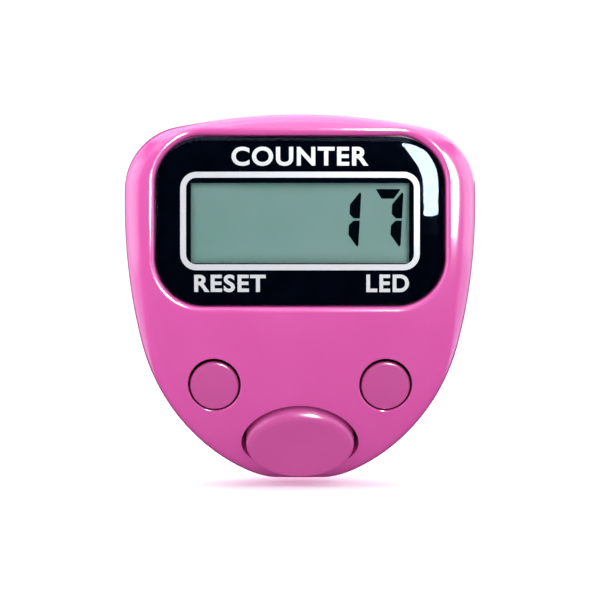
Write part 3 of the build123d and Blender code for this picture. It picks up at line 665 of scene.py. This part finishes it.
def root_station(forward):
    """A section of the root, straight down from the finger rest, at a place forward of the loop's centre."""
    inner = REST_R - LOOP_R - sqrt(REST_R**2 - forward**2)
    if forward < PIVOT[0]:
        bottom = TAPER_CENTRE.y - sqrt(TAPER_R**2 - (forward - TAPER_CENTRE.x) ** 2)
    else:
        bottom = underside(forward)
    lip = SEAM_LIP * max(0.0, 1 - (SEAM - SEAM_GAP - forward) / SEAM_LIP) ** 2
    return (forward, inner), (0.0, -1.0), half_width(forward) - lip, inner - bottom - lip, forward


def loop_station(angle):
    """A section of the round loop, at an angle from straight below, the back way."""
    out = (-sin(radians(angle)), -cos(radians(angle)))
    thick = loop_thickness(angle)
    forward = (LOOP_R + thick / 2) * out[0]
    return (LOOP_R * out[0], LOOP_R * out[1]), out, half_width(forward), thick, forward


def tail_station(angle):
    """A section of the tail, an arc about the pivot, at an angle above straight forward."""
    radius = hypot(*PIVOT) + LOOP_R
    out = (cos(radians(angle)), sin(radians(angle)))
    spot = (PIVOT[0] + radius * out[0], PIVOT[1] + radius * out[1])
    return spot, out, STRAP_HALF_W, STRAP_T, FLARE_END


def stations():
    """Each section's place on the inner face, outward direction, half-width, depth and place forward."""
    join = degrees(atan2(-PIVOT[0], -PIVOT[1]))
    tail_start = degrees(atan2(-PIVOT[1], -PIVOT[0]))
    shares = [(k / ROOT_STATIONS) ** SEAM_CROWDING for k in range(ROOT_STATIONS + 1)]
    root = [root_station((SEAM - SEAM_GAP) * (1 - share)) for share in shares]
    loop = [loop_station((180 + join) * k / LOOP_STATIONS) for k in range(1, LOOP_STATIONS + 1)]
    tail_turn = (TAIL_END_ANGLE - tail_start) / TAIL_STATIONS
    tail = [tail_station(tail_start + tail_turn * k) for k in range(1, TAIL_STATIONS + 1)]
    return root + loop + tail


def strap_mesh():
    """The strap as one mesh of rings, closed at both ends."""
    rings = []
    for (forward, up), out, width, depth, along in stations():
        share = min(max((along - FLARE_END) / (SEAM - FLARE_END), 0.0), 1.0)
        power = LOOP_SQUARENESS - (LOOP_SQUARENESS - SEAM_SQUARENESS) * share**SQUARENESS_FADE
        wall = depth * 0.5 + (SIDE_WALL - depth * 0.5) * share
        corner = STRAP_CORNER_R + SEAM_CORNER_GROWTH * share
        half = section(width, depth, max(wall, corner + 0.05), power, corner)
        ring = half + [(-x, d) for x, d in reversed(half[1:-1])]
        rings.append([place(x, forward + out[0] * d, up + out[1] * d) for x, d in ring])
    rows, count = len(rings), len(rings[0])
    faces = bands(rows, count)
    faces += [tuple(range(count)), tuple(range((rows - 1) * count, rows * count))]
    return new_piece("strap_with_root", [point for ring in rings for point in ring], faces, STRAP)


def strap():
    """The strap and its root as one shaded mesh that takes the CAD strap's place."""
    piece = strap_mesh()
    sharpen(piece, STRAP_CREASE)
    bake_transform(piece)
    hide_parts("ring_strap")


def cover_plate():
    """The cover without its root: the CAD cover cut off where the strap's own mesh begins."""
    mesh = NODES["back_cover"].data.copy()
    work = bmesh.new()
    work.from_mesh(mesh)
    bmesh.ops.remove_doubles(work, verts=work.verts, dist=1e-7)
    cut = bmesh.ops.bisect_plane(
        work,
        geom=list(work.verts) + list(work.edges) + list(work.faces),
        plane_co=place(0, SEAM - SEAM_GAP, 0),
        plane_no=(0, 1, 0),
        clear_outer=True,
    )
    rim = [item for item in cut["geom_cut"] if isinstance(item, bmesh.types.BMEdge)]
    bmesh.ops.triangle_fill(work, edges=rim, use_beauty=True)
    for face in work.faces:
        face.smooth = True
    work.to_mesh(mesh)
    work.free()
    mesh.materials.clear()
    mesh.materials.append(STRAP)
    plate = bpy.data.objects.new("cover_plate", mesh)
    bpy.context.scene.collection.objects.link(plate)
    sharpen(plate, COVER_CREASE)
    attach(plate, "case")
    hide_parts("back_cover")


strap()
cover_plate()

# ---- studio ----


def backdrop():
    """A pale, faintly glowing floor that curves up into a wall all round, and lights nothing."""
    profile = [(STAGE_R * k / STAGE_RINGS, 0.0) for k in range(1, STAGE_RINGS + 1)]
    turns = [radians(a) for a in range(STAGE_TURN, 91, STAGE_TURN)]
    profile += [(STAGE_R + STAGE_CURVE * sin(a), STAGE_CURVE * (1 - cos(a))) for a in turns]
    profile.append((STAGE_R + STAGE_CURVE, STAGE_CURVE + STAGE_WALL))
    points = []
    for radius, height in profile:
        for k in range(STAGE_SIDES):
            turn = 2 * pi * k / STAGE_SIDES
            points.append((radius * cos(turn), radius * sin(turn), FLOOR_Z + height))
    points.append((0, 0, FLOOR_Z))
    faces = bands(len(profile), STAGE_SIDES)
    faces += [(k, (k + 1) % STAGE_SIDES, len(points) - 1) for k in range(STAGE_SIDES)]
    paper = Surface("studio_paper")
    paper.colour(paper.mix(paper.noise(60.0), linear(236, 236, 236), linear(240, 240, 240)))
    paper.rough(0.8, 0.9, 20.0)
    paper.set(Emission_Color=(1.0, 1.0, 1.0, 1.0), Emission_Strength=PAPER_GLOW)
    piece = new_piece("backdrop", points, faces, paper.material)
    piece.visible_glossy = False
    piece.visible_diffuse = False


def soft_light(name, spot, size, power, tint):
    """A rectangular soft light at a point in metres, facing the object."""
    data = bpy.data.lights.new(name, "AREA")
    data.shape = "RECTANGLE"
    data.size, data.size_y = size
    data.energy = power
    data.color = tint
    lamp = bpy.data.objects.new(name, data)
    bpy.context.scene.collection.objects.link(lamp)
    lamp.location = spot
    lamp.rotation_euler = (AIM - Vector(spot)).to_track_quat("-Z", "Y").to_euler()
    lamp.visible_camera = False
    lamp.visible_diffuse = not name.startswith("gloss_")


def studio():
    """The backdrop, the lamps, and an even light from all round that no reflection shows."""
    backdrop()
    for name, settings in LAMPS.items():
        soft_light(name, *settings)
    world = bpy.data.worlds.new("studio_air")
    world.use_nodes = True
    world.node_tree.nodes["Background"].inputs["Color"].default_value = AIR_COLOUR
    world.node_tree.nodes["Background"].inputs["Strength"].default_value = AIR
    world.cycles_visibility.glossy = False
    bpy.context.scene.world = world
    bpy.context.scene.view_settings.view_transform = "Standard"


def camera():
    """Straight at the display, from far enough to flatten the depth."""
    data = bpy.data.cameras.new("camera")
    data.lens = CAMERA_LENS
    data.clip_start, data.clip_end = NEAREST, FARTHEST
    eye = bpy.data.objects.new("camera", data)
    bpy.context.scene.collection.objects.link(eye)
    low, high = CAD_BOX
    centre = Vector(((low[0] + high[0]) / 2, (low[1] + high[1]) / 2, (low[2] + high[2]) / 2))
    eye.location = centre + EYE_AWAY
    eye.rotation_euler = (centre - eye.location).to_track_quat("-Z", "Y").to_euler()
    bpy.context.scene.camera = eye


studio()
camera()
